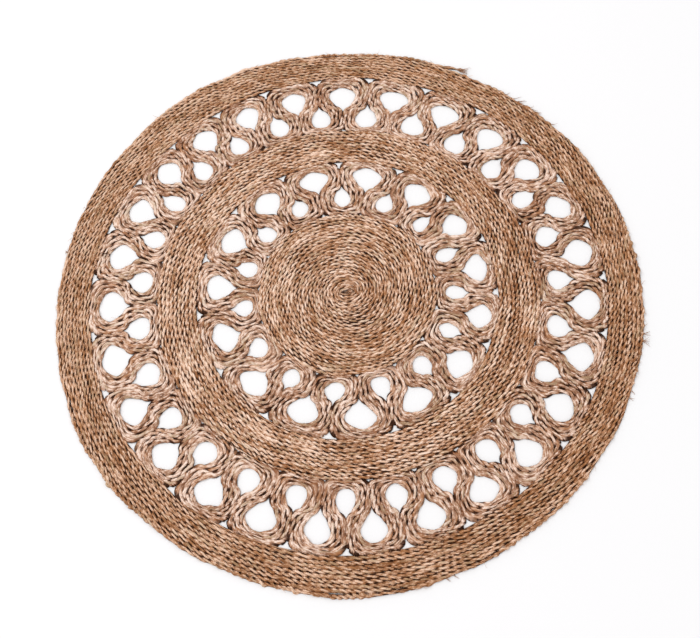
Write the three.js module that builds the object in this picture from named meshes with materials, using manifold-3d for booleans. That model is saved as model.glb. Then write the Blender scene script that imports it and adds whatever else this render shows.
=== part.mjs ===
// A round openwork floor mat of twisted seagrass rope, lying flat on the floor.
// Millimetres, +Z up, with the origin on the floor under the middle of the mat.
// From the middle out it is a coiled disc, an openwork ring, a coiled band, a second openwork ring and a
// coiled border. Each openwork ring is one ribbon of three cords, bent into loops that touch their neighbours.

import * as THREE from 'three';
import { mergeVertices } from 'three/addons/utils/BufferGeometryUtils.js';
import Module from 'manifold-3d';

const { lerp, smoothstep, euclideanModulo, degToRad, radToDeg } = THREE.MathUtils;

// The rope, as it shows in a section of the mat
const ropeHeight = 7; // floor to the top of a turn
const valleyHeight = 4.4; // floor to the bottom of the groove between two turns
const sideHeight = 3.4; // floor to where the side of an outermost turn starts to curve in
const gap = 0.3; // between neighbouring pieces

// Radii where one piece ends and the next begins
const discRadius = 182;
const bandInside = 310;
const bandOutside = 391;
const borderInside = 529;
const borderOutside = 596;

// Turns of rope, and straight stretches that make up one turn
const disc = { turns: 24, stretches: 28 };
const band = { turns: 10, stretches: 40 };
const border = { turns: 9, stretches: 52 };

const fullTurn = 360; // degrees

// The border's outer edge wavers: how far it stands out, as a list that goes once round from +X
const edgeOut = [4, 3.5, -3, -6, 3, -3, -5, 0, -1, 6, -4.5, -1.5];

// The border's last turn leaves the ring below it little by little and ends in a cut end
const ropeEndAngle = 61.5;
const ropeEndOut = 9; // how far the cut end stands out past the ring below it
const ropeStartOut = 0.4;
const lastTurnSweep = 350;
const lastTurnSteps = 52;

// The ribbon of three cords
const ribbonCords = 3;
const touchGap = 0.4; // between loops that touch
const joinGap = 0.6; // between the two ends of a ribbon

// Stations along half an arch, from the tip of its hole to its crown.
// across is a share of the hole's half width, and up is a share of the way from its tip to its crown.
// fromLine and fromBand place the ribbon's other edge: its distance from the line where neighbours touch, and
// from the coil that the crown lies against. The tip and the flank have the next hole at that edge.
const outerArch = [
  { across: 0.03, up: 0 },
  { across: 0.52, up: 0.18 },
  { across: 1, up: 0.55, fromLine: touchGap / 2, fromBand: 40 },
  { across: 0.87, up: 0.8, fromLine: 2.4, fromBand: 18 },
  { across: 0.38, up: 0.97, fromLine: 10, fromBand: 1 },
  { across: 0, up: 1, fromBand: gap },
];
const innerArch = [
  { across: 0.03, up: 0 },
  { across: 0.56, up: 0.18 },
  { across: 1, up: 0.58, fromLine: touchGap / 2, fromBand: 32 },
  { across: 0.74, up: 0.88, fromLine: 2.4, fromBand: 2.2 },
  { across: 0, up: 1, fromBand: gap },
];

// The openwork rings, with the radii of the tips and crowns of their holes.
// late and inward are lists that go once round from the first loop: by how many degrees a loop falls past its
// even place, and how far inward it lies.
const outerRing = {
  inside: bandOutside,
  outside: borderInside,
  outerHole: { tip: 448, crown: 511, ribbonWidth: 27 },
  innerHole: { tip: 462, crown: 406.5, ribbonWidth: 28 },
  loops: 27,
  firstAngle: 165,
  late: [0.5, 2, 2, 0, 0, 1, 0.5, 2.5, 1.5],
  inward: [4, -4, -2, 0, 1, -4, 8, 5, 1],
};
const innerRing = {
  inside: discRadius,
  outside: bandInside,
  outerHole: { tip: 236, crown: 295, ribbonWidth: 26 },
  innerHole: { tip: 245, crown: 197.5, ribbonWidth: 28 },
  loops: 15,
  firstAngle: 7,
  late: [0, -2.5, -1.5, -1.5, -2, 0, 1, 2.5],
  inward: [-3, -2, -4, 2, 6, 2, 4, -4],
};

const seagrass = { roughness: 0.9, metalness: 0 };
const bandColour = 0xab845d;
const ribbonColour = 0xb08b66;

function polar(angle, radius) {
  return new THREE.Vector3(radius * Math.cos(degToRad(angle)), radius * Math.sin(degToRad(angle)), 0);
}

// Section of a coil between two radii: a flat underside and one ridge for each turn.
// It runs counter-clockwise. A coil that starts at radius 0 starts and ends on the axis.
function coilSection(inside, outside, turns) {
  const pitch = (outside - inside) / turns;
  const hollow = inside > 0;
  const points = [
    new THREE.Vector2(inside, 0),
    new THREE.Vector2(outside, 0),
    new THREE.Vector2(outside, sideHeight),
  ];
  for (let turn = turns; turn > 0; turn -= 1) {
    points.push(new THREE.Vector2(inside + (turn - 0.5) * pitch, ropeHeight));
    if (turn > 1 || !hollow) {
      points.push(new THREE.Vector2(inside + (turn - 1) * pitch, valleyHeight));
    }
  }
  if (hollow) {
    points.push(new THREE.Vector2(inside, sideHeight), points[0].clone());
  }
  return points;
}

// A coil of rope. Its straight stretches stay outside the inner radius and inside the outer one.
function coil(inside, outside, { turns, stretches }) {
  const clearInside = inside / Math.cos(Math.PI / stretches);
  const geometry = new THREE.LatheGeometry(coilSection(clearInside, outside, turns), stretches);
  return geometry.rotateX(Math.PI / 2);
}

// A value that changes round the mat, eased between the places of a list that goes once round.
function around(list, turns) {
  const place = euclideanModulo(turns, 1) * list.length;
  const before = Math.floor(place) % list.length;
  const after = (before + 1) % list.length;
  return lerp(list[before], list[after], smoothstep(place - Math.floor(place), 0, 1));
}

// A radius in the border, moved with the waver of its edge. The inner edge stays round.
function borderRadius(radius, angle) {
  const share = (radius - borderInside) / (borderOutside - borderInside);
  return radius + around(edgeOut, angle / fullTurn) * share;
}

// Section of cords lying side by side: x is across and y is up.
function cordSection(cords, width) {
  const pitch = width / cords;
  const outline = new THREE.Shape();
  outline.moveTo(-width / 2, 0);
  outline.lineTo(width / 2, 0);
  for (let cord = cords; cord > 0; cord -= 1) {
    const across = -width / 2 + cord * pitch;
    outline.lineTo(across - pitch / 2, ropeHeight);
    if (cord > 1) {
      outline.lineTo(across - pitch, valleyHeight);
    }
  }
  outline.closePath();
  return outline;
}

// Lays a straight run of a section on the floor: place gives the spot for a point across and along the run.
function bend(geometry, place) {
  const position = geometry.attributes.position;
  for (let i = 0; i < position.count; i += 1) {
    const spot = place(position.getX(i), position.getZ(i));
    position.setXYZ(i, spot.x, spot.y, position.getY(i));
  }
}

// A point on the outline of a hole, on one side of it (-1 or 1), at a station of its arch.
function holePoint(hole, side, { across, up }) {
  const radius = lerp(hole.tip, hole.crown, up);
  return polar(hole.angle + side * across * hole.halfAngle[side], radius);
}

// A hole of a ring, counted in loops from the first: whole numbers are outer holes, and the halves between
// them are inner ones. On each side it is as wide as the ribbon leaves free up to the line where loops touch.
function holeAt({ outerHole, innerHole, loops, firstAngle, late, inward }, count) {
  const angleAt = (at) => firstAngle + fullTurn * (at / loops) + around(late, at / loops);
  const { tip, crown, ribbonWidth } = Number.isInteger(count) ? outerHole : innerHole;
  const ribbonAngle = radToDeg(ribbonWidth / lerp(tip, crown, 0.5));
  const shift = around(inward, count / loops);
  const angle = angleAt(count);
  const halfAngle = {
    [-1]: angle - angleAt(count - 0.5) - ribbonAngle,
    1: angleAt(count + 0.5) - angle - ribbonAngle,
  };
  return { angle, halfAngle, tip: tip - shift, crown: crown - shift };
}

// A point on the ribbon's far edge, beside the line where two loops touch or along the coil.
function farPoint(hole, line, side, coilRadius, outward, { fromLine, fromBand }) {
  const radius = coilRadius - outward * fromBand;
  const crown = fromLine === undefined;
  return polar(crown ? hole.angle : line - side * radToDeg(fromLine / radius), radius);
}

// The two edges of a ribbon once round its ring, as pairs of points from the crown of its first loop.
// Seen along the way, an outer hole lies to the left of the ribbon and an inner hole to its right.
function ribbonEdges(ring) {
  const { inside, outside, loops } = ring;
  const [tip, flank] = [0, 1];
  const pairs = [];
  for (let i = 0; i < loops; i += 1) {
    const outer = holeAt(ring, i);
    const inner = holeAt(ring, i + 0.5);
    const outerPair = (side, station, k) => {
      const nextHole = holeAt(ring, i + side / 2);
      const facing = innerArch[k === tip ? flank : tip];
      const right = k > flank
        ? farPoint(outer, nextHole.angle, side, outside, 1, station)
        : holePoint(nextHole, -side, facing);
      return { left: holePoint(outer, side, station), right };
    };
    const innerPair = (side, station) => ({
      left: farPoint(inner, holeAt(ring, i + 0.5 + side / 2).angle, side, inside, -1, station),
      right: holePoint(inner, side, station),
    });
    const lastOuter = outerArch.length - 1;
    const innerSides = innerArch.slice(flank + 1);
    pairs.push(...outerArch.map((station, k) => outerPair(-1, station, k)));
    pairs.push(...outerArch.slice(0, lastOuter).map((station, k) => outerPair(1, station, k)).reverse());
    pairs.push(...innerSides.map((station) => innerPair(-1, station)));
    pairs.push(...innerSides.slice(0, -1).map((station) => innerPair(1, station)).reverse());
  }
  pairs.push(...pairs.splice(0, outerArch.length - 1));
  const back = -joinGap / outside;
  const end = (point) => point.clone().applyAxisAngle(new THREE.Vector3(0, 0, 1), back);
  pairs.push({ left: end(pairs[0].left), right: end(pairs[0].right) });
  return pairs;
}

// A ribbon: its section runs straight, one unit from pair to pair, and is then laid between the two edges.
function ribbon(ring) {
  const pairs = ribbonEdges(ring);
  const length = pairs.length - 1;
  const geometry = new THREE.ExtrudeGeometry(cordSection(ribbonCords, 1), {
    depth: length,
    steps: length,
    bevelEnabled: false,
  });
  bend(geometry, (across, along) => {
    const { left, right } = pairs[Math.round(along)];
    return right.clone().lerp(left, across + 0.5);
  });
  return geometry;
}

const wasm = await Module();
wasm.setup();

function toSolid(geometry) {
  geometry.deleteAttribute('normal');
  geometry.deleteAttribute('uv');
  const merged = mergeVertices(geometry);
  return new wasm.Manifold(new wasm.Mesh({
    numProp: 3,
    vertProperties: merged.attributes.position.array,
    triVerts: new Uint32Array(merged.index.array),
  }));
}

function toGeometry(solid) {
  const { vertProperties, triVerts } = solid.getMesh();
  const geometry = new THREE.BufferGeometry();
  geometry.setAttribute('position', new THREE.BufferAttribute(vertProperties, 3));
  geometry.setIndex(new THREE.BufferAttribute(triVerts, 1));
  geometry.computeVertexNormals();
  return geometry;
}

// The border: closed rings whose edge wavers, with the last turn laid against them.
function borderCoil() {
  const rings = coil(borderInside, borderOutside, border);
  const position = rings.attributes.position;
  for (let i = 0; i < position.count; i += 1) {
    const radius = Math.hypot(position.getX(i), position.getY(i));
    const angle = radToDeg(Math.atan2(position.getY(i), position.getX(i)));
    const moved = polar(angle, borderRadius(radius, angle));
    position.setXY(i, moved.x, moved.y);
  }
  const ropeWidth = (borderOutside - borderInside) / border.turns;
  const lastTurn = new THREE.ExtrudeGeometry(cordSection(1, ropeWidth), {
    depth: 1,
    steps: lastTurnSteps,
    bevelEnabled: false,
  });
  bend(lastTurn, (across, t) => {
    const angle = ropeEndAngle + lastTurnSweep * t;
    const out = lerp(ropeEndOut, ropeStartOut, t);
    return polar(angle, borderRadius(borderOutside - ropeWidth / 2 + out - across, angle));
  });
  return toGeometry(toSolid(rings).add(toSolid(lastTurn)));
}

function piece(name, geometry, color) {
  const mesh = new THREE.Mesh(geometry, new THREE.MeshStandardMaterial({ ...seagrass, color }));
  mesh.name = name;
  return mesh;
}

const mat = new THREE.Group();
mat.add(
  piece('centre_coil', coil(0, discRadius, disc), bandColour),
  piece('inner_loop_ribbon', ribbon(innerRing), ribbonColour),
  piece('middle_band', coil(bandInside, bandOutside, band), bandColour),
  piece('outer_loop_ribbon', ribbon(outerRing), ribbonColour),
  piece('outer_band', borderCoil(), bandColour),
);

export default mat;
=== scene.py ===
import math

import bpy
import numpy as np
from mathutils import Matrix, Vector


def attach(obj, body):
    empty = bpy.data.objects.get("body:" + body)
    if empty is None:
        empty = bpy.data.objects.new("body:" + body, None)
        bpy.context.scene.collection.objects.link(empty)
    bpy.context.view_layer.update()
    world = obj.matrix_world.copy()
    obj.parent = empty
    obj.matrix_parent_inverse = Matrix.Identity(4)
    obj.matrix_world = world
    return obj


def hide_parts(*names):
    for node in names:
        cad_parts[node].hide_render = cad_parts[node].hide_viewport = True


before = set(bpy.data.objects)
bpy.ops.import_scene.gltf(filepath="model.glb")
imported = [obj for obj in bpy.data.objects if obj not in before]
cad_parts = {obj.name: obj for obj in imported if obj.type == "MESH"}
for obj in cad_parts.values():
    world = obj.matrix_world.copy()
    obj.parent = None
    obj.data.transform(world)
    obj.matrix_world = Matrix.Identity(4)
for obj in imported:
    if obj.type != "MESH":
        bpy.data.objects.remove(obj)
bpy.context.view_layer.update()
print("frame loaded:", sorted(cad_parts))

mm = 0.001  # ropes are in millimetres; the camera, studio, streaks and flat sizes are in metres
draws = np.random.default_rng(7)  # every uneven stretch comes from this one seed


# camera, standing in front of the mat and looking down at it
camera = {
    "place": (0, -0.8037, 1.7873),
    "aim": (0.0018, -0.0591, 0),
    "roll": math.radians(-4.05),
    "lens": 49.11,
    "sensor": 36,
}


def setCamera(look):
    data = bpy.data.cameras.new("camera")
    data.lens = look["lens"]
    data.sensor_width = look["sensor"]
    obj = bpy.data.objects.new("camera", data)
    bpy.context.collection.objects.link(obj)
    place = Vector(look["place"])
    turn = (Vector(look["aim"]) - place).to_track_quat("-Z", "Y").to_matrix().to_4x4()
    obj.matrix_world = Matrix.Translation(place) @ turn @ Matrix.Rotation(look["roll"], 4, "Z")
    bpy.context.scene.camera = obj


setCamera(camera)
print("camera set")


# two strands twisted right-handed into one rope; shares are of half the rope's width
rope = {
    "strandOut": 0.46,  # a strand's centre from the rope's middle
    "strandRadius": 0.565,
    "corners": (-105, -36, 36, 105),  # degrees round a strand
    "creaseOut": 0.34,  # where the two strands meet
    "rough": 0.02,  # blades that stand out from a strand
    "bladeTurn": 0.8,  # a strand's own twist, which turns its blades back along the rope
    "sidesTo": 1.04,  # low down the rope fills its place out to here
    "sidesFrom": 0.12, "sidesAt": -0.28,  # the height where that begins, and where it is full
    "sidesMost": 4, "leastAcross": 0.01,  # limits to how far a corner is moved for it
    "squash": 0.95, "underside": 0.25,  # trodden a little flat, more so underneath
    "middleHeight": 0.42,
    "tallest": 4.3,  # a rope that is spread wider than this gets no thicker
    "thinEnd": 0.3,  # width that is left where a turn begins or ends
    "grooveTop": 0.97, "grooveFloor": 0.45,  # heights between which painted shade darkens it
    "creaseShade": 0.45,
    "openShade": 0.85,  # less painted shade on a side at an open hole
    "tuckShade": 1.0,  # painted shade on the inner end of a rope, where it is tucked in
    "toneMiddle": 0.5,
}

# how uneven the rope is: a size and the length over which it changes
uneven = {
    "side": (0.25, 45), "height": (0.25, 45), "swell": (0.09, 30),
    "twist": (0.8, 60), "lay": (0.18, 140), "pitShadeUneven": (0.4, 24),
    "toneAlong": (0.05, 700), "toneStretch": (0.12, 40), "toneStrand": (0.24, 26),
}


def eased(share):
    share = np.clip(share, 0, 1)
    return share * share * (3 - 2 * share)


def polar(angle, radius):
    angle = np.radians(angle)
    return np.stack([radius * np.cos(angle), radius * np.sin(angle)], axis=-1)


# a value that changes round the mat, eased between the places of a list that goes once round
def around(values, turns):
    values = np.array(values)
    place = turns % 1 * len(values)
    before = np.floor(place).astype(int) % len(values)
    share = eased(place - np.floor(place))
    return values[before] * (1 - share) + values[(before + 1) % len(values)] * share


# neighbouring turns and loops shift and change tone together: waves over the whole mat
plan = {"waves": 16, "shift": 0.35, "shiftLength": (80, 200), "tone": 0.025, "toneLength": (40, 160)}
sideLightAndTone = {"way": 167, "tone": 0.1, "radius": 600}  # the mat is paler towards this angle: partly painted light from that side, partly the rope's own colour


def planWaves(size, lengths):
    ways = draws.uniform(0, 2 * math.pi, plan["waves"])
    cycles = 2 * math.pi / draws.uniform(*lengths, plan["waves"])
    starts = draws.uniform(0, 2 * math.pi, plan["waves"])

    def at(middle):
        places = middle[:, :1] * np.cos(ways) + middle[:, 1:] * np.sin(ways)
        return size * np.sin(places * cycles + starts).sum(axis=1, keepdims=True)

    return at


shiftX = planWaves(plan["shift"], plan["shiftLength"])
shiftY = planWaves(plan["shift"], plan["shiftLength"])
mottle = planWaves(plan["tone"], plan["toneLength"])


# smooth uneven values along a rope
def waver(along, kind):
    size, wavelength = uneven[kind]
    place = along / wavelength
    before = place.astype(int)
    knots = draws.normal(0, size, before[-1] + 2)
    share = eased(place - before)
    return (knots[before] * (1 - share) + knots[before + 1] * share)[:, None]


# the same for each strand on its own; first is how much a corner belongs to the first one
def waverStrands(along, kind, first):
    return waver(along, kind) * first + waver(along, kind) * (1 - first)


# the two strands' outline, with how much each corner belongs to the crease and to the first strand
def ropeSection():
    corners = np.radians(rope["corners"])
    strand = rope["strandRadius"] * np.column_stack([np.cos(corners), np.sin(corners)])
    half = np.vstack([strand + (rope["strandOut"], 0), (0, rope["creaseOut"])])
    crease = np.append(np.zeros(len(strand)), 1)
    first = np.append(np.ones(len(strand)), 0.5)
    return np.vstack([half, -half]), np.tile(crease, 2), np.append(first, 1 - first)


# the same line in even steps, with its other columns carried along
def evenSteps(line, step):
    length = np.append(0, np.cumsum(np.linalg.norm(np.diff(line[:, :2], axis=0), axis=1)))
    along = np.linspace(0, length[-1], int(length[-1] / step) + 1)
    return along, np.column_stack([np.interp(along, length, column) for column in line.T])


# one rope along a line of (x, y, half width, how loosely it lies, how open its right and left sides are);
# a side counts 1 at a hole, 0 against a neighbour and -1 in a narrow corner
def layRope(line, look):
    along, line = evenSteps(line, look["step"])
    even = line[:, :2]
    half, loose, openRight, openLeft = np.split(line[:, 2:], 4, axis=1)
    section, crease, first = ropeSection()

    # its path, and the section that turns along it
    middle = even + np.hstack([shiftX(even), shiftY(even)])
    ahead = np.gradient(middle, axis=0)
    ahead /= np.linalg.norm(ahead, axis=1, keepdims=True)
    left = ahead[:, ::-1] * (-1, 1)
    middle = middle + left * loose * waver(along, "side")
    turn = np.cumsum(2 * math.pi * look["step"] / look["lay"] * (1 + waver(along, "lay")), axis=0)
    turn += draws.uniform(0, 2 * math.pi) + waver(along, "twist")
    size = half * (1 + loose * waverStrands(along, "swell", first))
    size = size * (1 + draws.normal(0, rope["rough"], (len(along), len(section))))
    across = size * (section[:, 0] * np.cos(turn) - section[:, 1] * np.sin(turn))
    up = size * (section[:, 0] * np.sin(turn) + section[:, 1] * np.cos(turn))

    # low down it fills its place, less so at a hole and further in a narrow corner
    opened = np.where(across > 0, openLeft, openRight)
    # painted shade is lifted on a side that faces an open hole
    light = 1 - rope["openShade"] * np.maximum(opened, 0) * np.clip(np.abs(across) / half, 0, 1)
    sides = half * (rope["sidesTo"] - np.where(opened > 0, look["bare"], look["wedge"]) * opened)
    grow = np.clip(sides / np.maximum(np.abs(across), rope["leastAcross"]), 1, rope["sidesMost"])
    low = eased((rope["sidesFrom"] - up / half) / (rope["sidesFrom"] - rope["sidesAt"]))
    across *= 1 + (grow - 1) * low
    tall = np.minimum(half, rope["tallest"])
    up = rope["squash"] * tall / half * np.where(up < 0, up * rope["underside"], up)
    up = np.maximum(tall * rope["middleHeight"] + up + waver(along, "height"), 0)
    points = np.dstack([middle[:, :1] + left[:, :1] * across, middle[:, 1:] + left[:, 1:] * across, up])

    # painted shade, dark in the grooves, the crease and the tucked end; and uneven in tone, paler towards
    # one side partly as painted light
    groove = eased((rope["grooveTop"] - up / tall) / (rope["grooveTop"] - rope["grooveFloor"]))
    painted_shade = np.maximum(crease * rope["creaseShade"], groove) * light * (look["pitShade"] + waver(along, "pitShadeUneven"))
    tucked = eased(1 - (along[-1] - along) / look["tuck"])[:, None]
    painted_shade = np.maximum(painted_shade, rope["tuckShade"] * tucked)
    paintedLightAndTone = (even @ polar(sideLightAndTone["way"], sideLightAndTone["tone"] / sideLightAndTone["radius"]))[:, None]
    tone = rope["toneMiddle"] + mottle(even) + paintedLightAndTone
    tone = tone + waver(along, "toneAlong") + waver(along, "toneStretch")
    tone = tone + waverStrands(along, "toneStrand", first)
    return {
        "points": points, "along": along, "painted_shade": np.clip(painted_shade, 0, 1), "tone": np.clip(tone, 0, 1),
        "bladeTurn": rope["bladeTurn"] * turn / (2 * math.pi),
    }


# tubes of points (ring by ring) joined into one piece, each closed at both ends
def tubePiece(name, tubes, material):
    points, faces, maps, base = [], [], [], 0
    for tube in tubes:
        rings, sides = tube["points"].shape[:2]
        corner = np.arange(sides)
        following = (corner + 1) % sides
        start = base + np.arange(rings - 1)[:, None] * sides
        ahead = start + sides
        quads = np.dstack([start + corner, start + following, ahead + following, ahead + corner])
        rounds = np.arange(sides + 1) / sides + tube["bladeTurn"]
        grid = np.dstack([np.broadcast_to(tube["along"][:, None] * mm, rounds.shape), rounds])
        corners = np.stack([grid[:-1, :-1], grid[:-1, 1:], grid[1:, 1:], grid[1:, :-1]], axis=2)
        faces += quads.reshape(-1, 4).tolist()
        faces += [(base + corner[::-1]).tolist(), (base + (rings - 1) * sides + corner).tolist()]
        maps += [corners.reshape(-1, 2), grid[0, :-1][::-1], grid[-1, :-1]]
        points.append(tube["points"].reshape(-1, 3) * mm)
        base += rings * sides
    mesh = bpy.data.meshes.new(name)
    mesh.from_pydata(np.vstack(points).tolist(), [], faces)
    mesh.uv_layers.new(name="alongRope").data.foreach_set("uv", np.vstack(maps).ravel())
    for shade in ("painted_shade", "tone"):
        values = np.concatenate([tube[shade].ravel() for tube in tubes])
        mesh.attributes.new(shade, "FLOAT", "POINT").data.foreach_set("value", values)
    mesh.shade_smooth()
    mesh.materials.append(material)
    obj = bpy.data.objects.new(name, mesh)
    bpy.context.collection.objects.link(obj)
    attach(obj, "root")
    print(f"{name}: {len(tubes)} tubes, {sum(len(face) - 2 for face in faces)} triangles")
    return obj


# node helpers; a socket is fed by a value or by another node's output
def addNode(tree, kind, **values):
    node = tree.nodes.new(kind)
    for key, value in values.items():
        setattr(node, key, value)
    return node


def feed(tree, socket, value):
    if isinstance(value, (int, float, tuple)):
        socket.default_value = value
    else:
        tree.links.new(value, socket)


def addMath(tree, operation, first, second):
    node = addNode(tree, "ShaderNodeMath", operation=operation)
    feed(tree, node.inputs[0], first)
    feed(tree, node.inputs[1], second)
    return node.outputs[0]


def addMix(tree, share, first, second):
    node = addNode(tree, "ShaderNodeMix", data_type="RGBA")
    feed(tree, node.inputs[0], share)
    feed(tree, node.inputs[6], first)
    feed(tree, node.inputs[7], second)
    return node.outputs[2]


# rises from nothing to a share while a value goes from one end to the other
def addStep(tree, value, start, end, share):
    node = addNode(tree, "ShaderNodeMapRange", interpolation_type="SMOOTHSTEP")
    node.inputs["From Min"].default_value = start
    node.inputs["From Max"].default_value = end
    node.inputs["To Max"].default_value = share
    tree.links.new(value, node.inputs["Value"])
    return node.outputs[0]


# the blades of a strand: how long a streak is, how many go round the rope, and how finely it is broken up
streaks = {
    "Streak": {"length": 0.06, "round": 20, "detail": 3},
    "Fleck": {"length": 0.0085, "round": 10, "detail": 2},
    "Patch": {"length": 0.07, "round": 3, "detail": 2},
}


# streaks along the rope, and the tone and painted shade that its points carry
def bladesGroup():
    group = bpy.data.node_groups.new("seagrassBlades", "ShaderNodeTree")
    for name, look in streaks.items():
        for measure in ("length", "round"):
            socket = group.interface.new_socket(
                f"{name} {measure}", in_out="INPUT", socket_type="NodeSocketFloat")
            socket.default_value = look[measure]
    for name in (*streaks, "Tone", "Painted_shade"):
        group.interface.new_socket(name, in_out="OUTPUT", socket_type="NodeSocketFloat")
    given = addNode(group, "NodeGroupInput").outputs
    result = addNode(group, "NodeGroupOutput").inputs
    along = addNode(group, "ShaderNodeUVMap", uv_map="alongRope")
    parts = addNode(group, "ShaderNodeSeparateXYZ")
    group.links.new(along.outputs[0], parts.inputs[0])
    for name, look in streaks.items():
        place = addNode(group, "ShaderNodeCombineXYZ")
        feed(group, place.inputs[0], addMath(group, "DIVIDE", parts.outputs[0], given[name + " length"]))
        feed(group, place.inputs[1], addMath(group, "MULTIPLY", parts.outputs[1], given[name + " round"]))
        noise = addNode(group, "ShaderNodeTexNoise", noise_dimensions="2D")
        noise.inputs["Scale"].default_value = 1
        noise.inputs["Detail"].default_value = look["detail"]
        group.links.new(place.outputs[0], noise.inputs["Vector"])
        group.links.new(noise.outputs[0], result[name])
    for name in ("Tone", "Painted_shade"):
        shade = addNode(group, "ShaderNodeAttribute", attribute_name=name.lower())
        group.links.new(shade.outputs["Fac"], result[name])
    return group


blades = bladesGroup()

# dry seagrass, from its dark base over tan to pale straw
seagrass = {
    "coiled": {
        "dark": (0.275, 0.112, 0.043, 1), "mid": (0.635, 0.383, 0.24, 1), "pale": (0.89, 0.68, 0.54, 1),
    },
    "looped": {
        "dark": (0.27, 0.125, 0.068, 1), "mid": (0.56, 0.36, 0.253, 1), "pale": (0.84, 0.665, 0.56, 1),
    },
    "border": {
        "dark": (0.245, 0.099, 0.036, 1), "mid": (0.54, 0.303, 0.173, 1), "pale": (0.79, 0.56, 0.415, 1),
    },
}
grain = {
    "weights": {"Streak": 1.1, "Tone": 0.65, "Fleck": 1.6}, "shift": -1.17,  # they add up to a shade
    "stops": {"dark": 0.22, "mid": 0.5, "pale": 0.8},
    "specular": 0.12, "roughness": 0.82, "streakShine": 0.35,
    "bump": 0.7, "bumpHeight": 0.4,
}

# colours laid over the blades, up to a share, where the patches or the painted shade go from start to end;
# the last two are painted shade, darkening the flanks and crevices of the rope
tints = {
    "ginger": {"colour": (0.52, 0.24, 0.095, 1), "by": "Patch", "start": 0.55, "end": 0.68, "share": 0.35},
    "olive": {"colour": (0.42, 0.31, 0.18, 1), "by": "Patch", "start": 0.45, "end": 0.32, "share": 0.45},
    "paintedFlankShade": {"colour": (0.29, 0.105, 0.035, 1), "by": "Painted_shade", "start": 0.1, "end": 0.6, "share": 0.6},
    "paintedCreviceShade": {"colour": (0.03, 0.008, 0.002, 1), "by": "Painted_shade", "start": 0.4, "end": 1, "share": 0.97},
}


def grassMaterial(name, shades):
    material = bpy.data.materials.new(name)
    material.use_nodes = True
    tree = material.node_tree
    shader = tree.nodes["Principled BSDF"]
    shader.inputs["Specular IOR Level"].default_value = grain["specular"]
    grass = addNode(tree, "ShaderNodeGroup", node_tree=blades).outputs
    tone = grain["shift"]
    for part, weight in grain["weights"].items():
        tone = addMath(tree, "ADD", tone, addMath(tree, "MULTIPLY", grass[part], weight))
    ramp = addNode(tree, "ShaderNodeValToRGB")
    stops = ramp.color_ramp.elements
    for shade, place in grain["stops"].items():
        stops.new(place).color = shades[shade]
    stops.remove(stops[0])
    stops.remove(stops[-1])
    tree.links.new(tone, ramp.inputs[0])
    colour = ramp.outputs[0]
    for tint in tints.values():
        share = addStep(tree, grass[tint["by"]], tint["start"], tint["end"], tint["share"])
        colour = addMix(tree, share, colour, tint["colour"])
    tree.links.new(colour, shader.inputs["Base Color"])
    shine = addMath(tree, "MULTIPLY", grass["Streak"], grain["streakShine"])
    tree.links.new(addMath(tree, "SUBTRACT", grain["roughness"], shine), shader.inputs["Roughness"])
    bump = addNode(tree, "ShaderNodeBump")
    bump.inputs["Strength"].default_value = grain["bump"]
    bump.inputs["Distance"].default_value = grain["bumpHeight"] * mm
    tree.links.new(grass["Streak"], bump.inputs["Height"])
    tree.links.new(bump.outputs[0], shader.inputs["Normal"])
    return material


materials = {name: grassMaterial(name + "Seagrass", shades) for name, shades in seagrass.items()}
print("materials made")


def ropeLine(place, half, loose=1.0, openRight=0.0, openLeft=0.0):
    rest = [np.broadcast_to(value, len(place)) for value in (half, loose, openRight, openLeft)]
    return np.column_stack([place, *rest])


# coils run from their outer end inward, with the angle growing, at so many points a turn
pointsPerTurn = 240

# the disc in the middle, a true spiral round a folded start
disc = {
    "outside": 182, "turns": 24, "endAngle": 130, "taper": 0.12,
    "roundFrom": 110, "roundAt": 170,  # from here to here out the turns ease into circles
    "startTurn": 24.12, "foldLength": 9, "foldAngle": 10, "foldReach": 26,
    "startLoose": 2, "looseReach": 45,  # the first turns lie less evenly
    "step": 3, "lay": 32, "fill": 1.1, "wedge": 0, "bare": 0.4, "pitShade": 1, "tuck": 34,
    "flat": (0.364, 0.364), "flatRadius": 0.182,
}


def discLine(look):
    turns = np.linspace(0, look["startTurn"], int(look["startTurn"] * pointsPerTurn))
    whole, part = np.floor(turns), turns % 1
    angle = look["endAngle"] + 360 * turns
    pitch = look["outside"] / look["turns"]
    shown = eased(part / look["taper"])
    slot = np.where(whole > 0, shown + whole - 0.5, shown / 2)
    spiral = look["outside"] - pitch * turns
    spiral = np.where(turns < 1, np.minimum(spiral, look["outside"] - pitch / 2), spiral)
    ring = look["outside"] - pitch * slot
    share = eased((spiral - look["roundFrom"]) / (look["roundAt"] - look["roundFrom"]))
    radius = spiral + (ring - spiral) * share
    place = polar(angle, radius)
    fold = look["foldLength"] * np.exp(-radius / look["foldReach"])
    fold = fold * np.cos(np.radians(angle - look["foldAngle"]))
    place += fold[:, None] * polar(look["foldAngle"], 1)
    width = np.where(whole > 0, 1, np.maximum(shown, rope["thinEnd"]))
    loose = 1 + look["startLoose"] * np.exp(-radius / look["looseReach"])
    return ropeLine(place, width * look["fill"] * pitch / 2, loose)


# the plain band between the two openwork rings
band = {
    "inside": 310.3, "outside": 390.7, "turns": 10, "endAngle": 205, "taper": 0.2,
    "step": 3, "lay": 32, "fill": 1.1, "wedge": 0, "bare": 0.4, "pitShade": 1, "tuck": 3,
    "flat": (0.081, 2.2),
}


def bandLine(look):
    count = look["turns"]
    turns = np.linspace(0, count + look["taper"], int((count + look["taper"]) * pointsPerTurn))
    whole, part = np.floor(turns), turns % 1
    shown = eased(part / look["taper"])
    slot = np.where(whole > 0, shown + whole - 0.5, shown / 2)
    slot = np.where(whole == count, shown + count - 1 + (1 - shown) / 2, slot)
    pitch = (look["outside"] - look["inside"]) / count
    radius = look["outside"] - pitch * slot
    width = np.where(whole == 0, shown, np.where(whole == count, 1 - shown, 1))
    place = polar(look["endAngle"] + 360 * turns, radius)
    return ropeLine(place, np.maximum(width, rope["thinEnd"]) * look["fill"] * pitch / 2)


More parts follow.
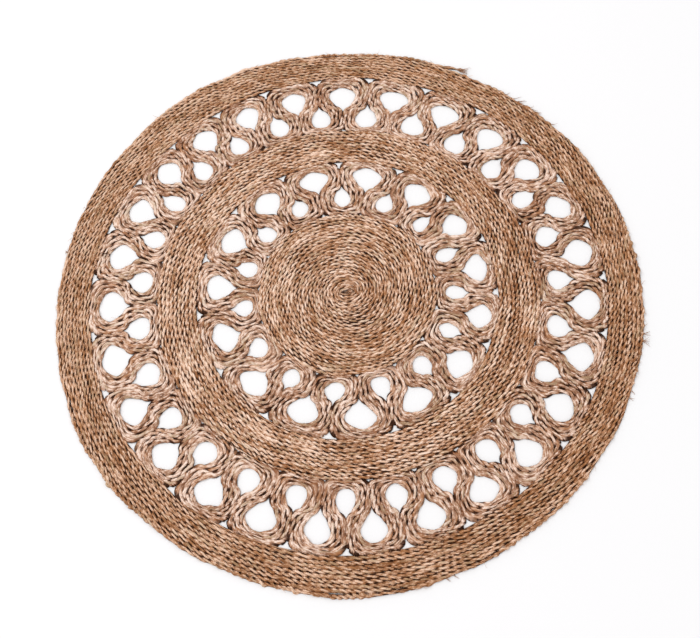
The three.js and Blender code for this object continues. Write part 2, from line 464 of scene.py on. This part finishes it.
# the border, whose last turn ends in a cut end that stands out
border = {
    "inside": 529.3, "outside": 605, "turns": 10, "endAngle": 61.5,
    "taperFrom": 0.35, "taperTo": 0.65,  # the start of the rope, tucked in at the inner edge
    "edgeOut": (4, 3.5, -3, -6, 3, -3, -5, 0, -1, 6, -4.5, -1.5),  # the edge's waver at every 30 degrees
    "roundInside": 529, "roundOutside": 596,
    "endTaper": 28, "endWidth": 0.4, "endOut": 5,  # the cut end thins and stands out over this length
    "edgeLoose": 3.2, "edgeOpen": 0.8,
    "step": 3.6, "lay": 32, "fill": 1.1, "wedge": 0, "bare": 0.4, "pitShade": 1, "tuck": 3,
    "flat": (0.072, 3.55),
}


def borderLine(look):
    count = look["turns"]
    last = count - 1 + look["taperTo"]
    turns = np.linspace(0, last, int(last * pointsPerTurn))
    whole, part = np.floor(turns), turns % 1
    angle = look["endAngle"] + 360 * turns
    outer = look["outside"] - (look["outside"] - look["inside"]) / count * part
    shown = 1 - eased((part - look["taperFrom"]) / (look["taperTo"] - look["taperFrom"]))
    slot = np.where(whole < count - 1, whole + 0.5, count - 1 + shown / 2)
    pitch = (outer - look["inside"]) / (count - 1 + shown)
    radius = outer - pitch * slot
    spread = around(look["edgeOut"], angle / 360) / (look["roundOutside"] - look["roundInside"])
    radius += (radius - look["roundInside"]) * spread
    width = np.where(whole < count - 1, 1, np.maximum(shown, rope["thinEnd"])) * (1 + spread)
    cut = 1 - eased(np.radians(360 * turns) * look["outside"] / look["endTaper"])
    radius += look["endOut"] * cut
    width = width * (1 - (1 - look["endWidth"]) * cut)
    loose = np.where(whole == 0, look["edgeLoose"], 1)
    edge = np.where(whole == 0, look["edgeOpen"], 0)
    return ropeLine(polar(angle, radius), width * look["fill"] * pitch / 2, loose, edge)


# half an arch of a ribbon, from the tip of its hole to its crown: shares across and up the hole, and the
# other edge's distance from the line where loops touch and from the coil at the crown
outerArch = [
    {"across": 0.06, "up": 0},
    {"across": 0.52, "up": 0.18},
    {"across": 1, "up": 0.55, "fromLine": 0.2, "fromCoil": 40},
    {"across": 0.87, "up": 0.8, "fromLine": 2.4, "fromCoil": 18},
    {"across": 0.38, "up": 0.97, "fromLine": 17, "fromCoil": 4.4},
    {"across": 0, "up": 1, "fromCoil": 0.3},
]
innerArch = [
    {"across": 0.06, "up": 0},
    {"across": 0.56, "up": 0.18},
    {"across": 1, "up": 0.58, "fromLine": 0.2, "fromCoil": 32},
    {"across": 0.74, "up": 0.88, "fromLine": 4.2, "fromCoil": 5},
    {"across": 0, "up": 1, "fromCoil": 0.3},
]
widest = 2  # before this station the ribbon's other edge is the next hole's
outerCrown, innerCrown = len(outerArch) - 1, len(innerArch) - 1
openFrom = 0.25  # from this share of its height a hole is fully open

# late and inward are lists once round: how many degrees past its even place a loop falls, and how far
# inward it sits
outerRing = {
    "inside": 391, "outside": 529, "loops": 27, "firstAngle": 165, "cords": 3,
    "outerHole": {"tip": 448, "crown": 511, "ribbon": 27},
    "innerHole": {"tip": 462, "crown": 406.5, "ribbon": 28},
    "late": (0.5, 2, 2, 0, 0, 1, 0.5, 2.5, 1.5),
    "inward": (4, -4, -2, 0, 1, -4, 8, 5, 1),
    "handmade": 0.8,
    "step": 3.3, "lay": 46, "wedge": 0.66, "bare": 0.06, "pitShade": 0.9, "tuck": 3,
}
innerRing = {
    "inside": 182, "outside": 310, "loops": 15, "firstAngle": 7, "cords": 3,
    "outerHole": {"tip": 236, "crown": 295, "ribbon": 26},
    "innerHole": {"tip": 245, "crown": 197.5, "ribbon": 28},
    "late": (0, -2.5, -1.5, -1.5, -2, 0, 1, 2.5),
    "inward": (-3, -2, -4, 2, 6, 2, 4, -4),
    "handmade": 0.8,
    "step": 3.2, "lay": 46, "wedge": 0.66, "bare": 0.06, "pitShade": 0.9, "tuck": 3,
}


# a hole in a ring, counted in loops: whole numbers are outer holes, and the halves between are inner ones
def holeAt(ring, count):
    def angleAt(at):
        turns = at / ring["loops"]
        return ring["firstAngle"] + 360 * turns + around(ring["late"], turns)

    sizes = ring["innerHole"] if count % 1 else ring["outerHole"]
    inward = around(ring["inward"], count / ring["loops"])
    ribbonAngle = math.degrees(sizes["ribbon"] * 2 / (sizes["tip"] + sizes["crown"]))
    angle = angleAt(count)
    return {
        "angle": angle, "tip": sizes["tip"] - inward, "crown": sizes["crown"] - inward,
        "half": {side: abs(angleAt(count + side / 2) - angle) - ribbonAngle for side in (-1, 1)},
        "handmade": ring["handmade"],
    }


# points of an edge, each with how open it is there
def holePoint(hole, side, station):
    radius = hole["tip"] + (hole["crown"] - hole["tip"]) * station["up"]
    even = polar(hole["angle"] + side * station["across"] * hole["half"][side], radius)
    return np.append(even + draws.normal(0, hole["handmade"], 2), min(1, station["up"] / openFrom))


def farPoint(hole, line, side, coilRadius, outward, station):
    radius = coilRadius - outward * station["fromCoil"]
    if "fromLine" not in station:
        return np.append(polar(hole["angle"], radius), -1)
    return np.append(polar(line - side * math.degrees(station["fromLine"] / radius), radius), -1)


# left and right point at a station on one side of a hole
def outerPair(ring, count, side, k):
    hole, facing = holeAt(ring, count), holeAt(ring, count + side / 2)
    if k < widest:
        right = holePoint(facing, -side, innerArch[widest - 1 - k])
    else:
        right = farPoint(hole, facing["angle"], side, ring["outside"], 1, outerArch[k])
    return holePoint(hole, side, outerArch[k]), right


def innerPair(ring, count, side, k):
    hole, facing = holeAt(ring, count), holeAt(ring, count + side / 2)
    left = farPoint(hole, facing["angle"], side, ring["inside"], -1, innerArch[k])
    return left, holePoint(hole, side, innerArch[k])


# left and right edge of the ribbon once round, from the crown of the first loop
def ribbonEdges(ring):
    pairs = []
    for i in range(ring["loops"]):
        pairs += [outerPair(ring, i, -1, k) for k in range(outerCrown + 1)]
        pairs += [outerPair(ring, i, 1, k) for k in reversed(range(outerCrown))]
        pairs += [innerPair(ring, i + 0.5, -1, k) for k in range(widest, innerCrown + 1)]
        pairs += [innerPair(ring, i + 0.5, 1, k) for k in reversed(range(widest, innerCrown))]
    pairs = pairs[outerCrown:] + pairs[:outerCrown + 1]
    return np.array([pair[0] for pair in pairs]), np.array([pair[1] for pair in pairs])


# a smooth line through points, closed on itself
def smoothThrough(points, between=12):
    points = np.vstack([points[-2], points, points[1]])
    share = np.linspace(0, 1, between, endpoint=False)[:, None]
    lines = []
    for a, b, c, d in zip(points, points[1:], points[2:], points[3:]):
        lines.append(0.5 * (2 * b + (c - a) * share + (2 * a - 5 * b + 4 * c - d) * share ** 2
                            + (3 * b - a - 3 * c + d) * share ** 3))
    return np.vstack(lines + [points[-2]])


# half a cord's width, as a share of its place across the ribbon
cordHalf = {"share": 0.515, "least": 3.2, "most": 6}


def ribbonLines(ring):
    left, right = (smoothThrough(edge) for edge in ribbonEdges(ring))
    openRight, openLeft = np.clip(right[:, 2], -1, 1), np.clip(left[:, 2], -1, 1)
    across = left[:, :2] - right[:, :2]
    spacing = np.linalg.norm(across, axis=1) / ring["cords"]
    half = np.clip(spacing * cordHalf["share"], cordHalf["least"], cordHalf["most"])
    lines = []
    for cord in range(ring["cords"]):
        place = right[:, :2] + across * (cord + 0.5) / ring["cords"]
        rightmost, leftmost = cord == 0, cord == ring["cords"] - 1
        lines.append(ropeLine(place, half, 1, openRight * rightmost, openLeft * leftmost))
    return lines


# a ribbon's width and length when it is pulled straight
def ribbonFlat(lines):
    middle = lines[len(lines) // 2]
    length = np.linalg.norm(np.diff(middle[:, :2], axis=0), axis=1)
    width = np.linalg.norm(lines[0][:, :2] - lines[-1][:, :2], axis=1) * len(lines) / (len(lines) - 1)
    return np.average(width[1:], weights=length) * mm, length.sum() * mm


def placePiece(node):
    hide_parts(node)


coilLines = {"disc": discLine(disc), "band": bandLine(band), "border": borderLine(border)}
innerLines, outerLines = ribbonLines(innerRing), ribbonLines(outerRing)

discPiece = tubePiece("disc_rope", [layRope(coilLines["disc"], disc)], materials["coiled"])
bandPiece = tubePiece("band_rope", [layRope(coilLines["band"], band)], materials["coiled"])
borderPiece = tubePiece("border_rope", [layRope(coilLines["border"], border)], materials["border"])
innerPiece = tubePiece("inner_loops", [layRope(line, innerRing) for line in innerLines], materials["looped"])
outerPiece = tubePiece("outer_loops", [layRope(line, outerRing) for line in outerLines], materials["looped"])

placePiece("centre_coil")
placePiece("middle_band")
placePiece("outer_band")
placePiece("inner_loop_ribbon")
placePiece("outer_loop_ribbon")
print("ribbons, flat:", ribbonFlat(innerLines), ribbonFlat(outerLines))
print("pieces placed")


# loose fibres: thin slivers that start in a rope and rise and bend; headings are degrees in plan
fibre = {
    "sides": 3, "rings": 6, "thick": (0.18, 0.4), "taper": 0.75, "bend": 0.35, "lowest": 0.05,
    "tones": (0.2, 0.9),
    "mapStart": (0, 5000),  # each starts elsewhere along the streaks
}


def fibreTubes(starts, headings, lengths, rises, stout=1, tones=fibre["tones"]):
    tubes = []
    share = np.linspace(0, 1, fibre["rings"])[:, None]
    spokes = np.arange(fibre["sides"])[:, None] * 2 * math.pi / fibre["sides"]
    for start, heading, length, rise in zip(starts, np.radians(headings), lengths, rises):
        ahead = np.array([math.cos(heading), math.sin(heading), 0])
        left = np.array([-math.sin(heading), math.cos(heading), 0])
        bend = draws.normal(0, fibre["bend"])
        spine = start + length * (share * ahead + bend * share ** 2 * left)
        spine[:, 2] += length * (rise * share - rise * share ** 2).ravel()
        thick = stout * draws.uniform(*fibre["thick"]) * (1 - fibre["taper"] * share)
        points = spine[:, None] + thick[:, :, None] * (np.cos(spokes) * left + np.sin(spokes) * (0, 0, 1))
        points[:, :, 2] = np.maximum(points[:, :, 2], fibre["lowest"])
        shade = np.full(points.shape[:2], 1.0)
        tubes.append({
            "points": points, "along": share.ravel() * length + draws.uniform(*fibre["mapStart"]),
            "painted_shade": shade * 0, "tone": shade * draws.uniform(*tones), "bladeTurn": share * 0,
        })
    return tubes


# fibres along a rope: turnOut is how far they turn from it, and offset how far to a side they start
edgeFuzz = {
    "count": 420, "turnOut": 45, "reach": (4, 13), "rise": (0.1, 0.5), "heights": (2, 5.5), "offset": 3.8,
    "stout": 1.5,
}
coilFuzz = {
    "count": 400, "turnOut": 20, "reach": (6, 18), "rise": (0.2, 0.5), "heights": (4.5, 5.8), "offset": 2.5,
    "stout": 1,
}
cordFuzz = {
    "count": 150, "turnOut": 45, "reach": (5, 14), "rise": (0.1, 0.5), "heights": (3, 5.8), "offset": 3.5,
    "stout": 1,
}


def fibresAlong(line, look):
    count = look["count"]
    index = draws.integers(1, len(line) - 1, count)
    ahead = line[index + 1, :2] - line[index - 1, :2]
    way = draws.choice((-1, 1), count)
    heading = np.degrees(np.arctan2(ahead[:, 1], ahead[:, 0])) + np.where(way > 0, 0, 180)
    heading = heading + draws.uniform(-1, 1, count) * look["turnOut"]
    side = np.column_stack([-ahead[:, 1], ahead[:, 0]]) / np.linalg.norm(ahead, axis=1, keepdims=True)
    spot = line[index, :2] + side * (draws.uniform(-1, 1, count) * look["offset"])[:, None]
    starts = np.column_stack([spot, draws.uniform(*look["heights"], count)])
    lengths, rises = draws.uniform(*look["reach"], count), draws.uniform(*look["rise"], count)
    return fibreTubes(starts, heading, lengths, rises, look["stout"])


edgeTurn = coilLines["border"][:pointsPerTurn]
fuzz = fibresAlong(edgeTurn, edgeFuzz)
for line in coilLines.values():
    fuzz += fibresAlong(line, coilFuzz)
for line in innerLines + outerLines:
    fuzz += fibresAlong(line, cordFuzz)

# places where fibres stick out of the edge: turned is their angle from straight outward
sprays = [
    {"angle": 347, "spread": 1.2, "count": 10, "reach": (10, 19), "turned": 10},
    {"angle": 334.5, "spread": 0.6, "count": 4, "reach": (7, 10), "turned": -15},
    {"angle": 45, "spread": 3, "count": 16, "reach": (10, 22), "turned": -68},
    {"angle": 167.5, "spread": 0.3, "count": 12, "reach": (3, 6), "turned": 30},
    {"angle": 285, "spread": 0.4, "count": 3, "reach": (6, 11), "turned": 40},
    {"angle": 293.5, "spread": 0.3, "count": 8, "reach": (3, 6), "turned": -30},
]
sprayed = {"out": 1.003, "heights": (1, 5), "fan": 18, "rise": (0, 0.4), "stout": 2.6, "tones": (-0.2, 0.2)}
for spray in sprays:
    count = spray["count"]
    angle = spray["angle"] + draws.normal(0, spray["spread"], count)
    spot = edgeTurn[((angle - border["endAngle"]) % 360 / 360 * pointsPerTurn).astype(int), :2]
    starts = np.column_stack([spot * sprayed["out"], draws.uniform(*sprayed["heights"], count)])
    headings = angle + spray["turned"] + draws.normal(0, sprayed["fan"], count)
    lengths, rises = draws.uniform(*spray["reach"], count), draws.uniform(*sprayed["rise"], count)
    fuzz += fibreTubes(starts, headings, lengths, rises, sprayed["stout"], sprayed["tones"])

# the cut end of the border's rope is frayed
frayed = {
    "count": 30, "spread": 2.5, "heights": (1, 5.5), "fan": 13, "reach": (6, 24), "rise": (0, 0.4),
    "stout": 2.8, "tones": (0, 0.4),
}


def frayedEnd(end, look):
    count = look["count"]
    x = end[0] + draws.uniform(-look["spread"], look["spread"], count)
    y = end[1] + draws.uniform(-look["spread"], look["spread"], count)
    starts = np.column_stack([x, y, draws.uniform(*look["heights"], count)])
    headings = border["endAngle"] - 90 + draws.normal(0, look["fan"], count)
    lengths, rises = draws.uniform(*look["reach"], count), draws.uniform(*look["rise"], count)
    return fibreTubes(starts, headings, lengths, rises, look["stout"], look["tones"])


fuzz += frayedEnd(edgeTurn[0], frayed)
fibrePiece = tubePiece("loose_fibres", fuzz, materials["coiled"])
print("fibres added")

# floor and light
studio = {
    "floorSize": 12, "floorDrop": 0.0003, "floorColour": (0.785, 0.785, 0.785, 1),
    "floorRoughness": 0.9, "floorSpecular": 0.1,
    "sky": (1, 0.99, 1, 1), "skyStrength": 1.05,
    "lampPlace": (-4.0, 1.2, 5.2), "lampSize": 4.5, "lampPower": 160,
}


def setFloor(look):
    mesh = bpy.data.meshes.new("floor")
    size = look["floorSize"] / 2
    drop = -look["floorDrop"]
    mesh.from_pydata([(-size, -size, drop), (size, -size, drop), (size, size, drop), (-size, size, drop)],
                     [], [(0, 1, 2, 3)])
    floor = bpy.data.objects.new("floor", mesh)
    bpy.context.collection.objects.link(floor)
    material = bpy.data.materials.new("paleFloor")
    material.use_nodes = True
    shader = material.node_tree.nodes["Principled BSDF"]
    shader.inputs["Base Color"].default_value = look["floorColour"]
    shader.inputs["Roughness"].default_value = look["floorRoughness"]
    shader.inputs["Specular IOR Level"].default_value = look["floorSpecular"]
    mesh.materials.append(material)


def setLight(look):
    world = bpy.data.worlds.new("studio")
    world.use_nodes = True
    sky = world.node_tree.nodes["Background"]
    sky.inputs["Color"].default_value = look["sky"]
    sky.inputs["Strength"].default_value = look["skyStrength"]
    bpy.context.scene.world = world

    data = bpy.data.lights.new("lamp", "AREA")
    data.size = look["lampSize"]
    data.energy = look["lampPower"]
    lamp = bpy.data.objects.new("lamp", data)
    lamp.location = look["lampPlace"]
    lamp.rotation_euler = (-Vector(look["lampPlace"])).to_track_quat("-Z", "Y").to_euler()
    bpy.context.collection.objects.link(lamp)
    bpy.context.scene.view_settings.view_transform = "Standard"


setFloor(studio)
setLight(studio)
print("studio set")
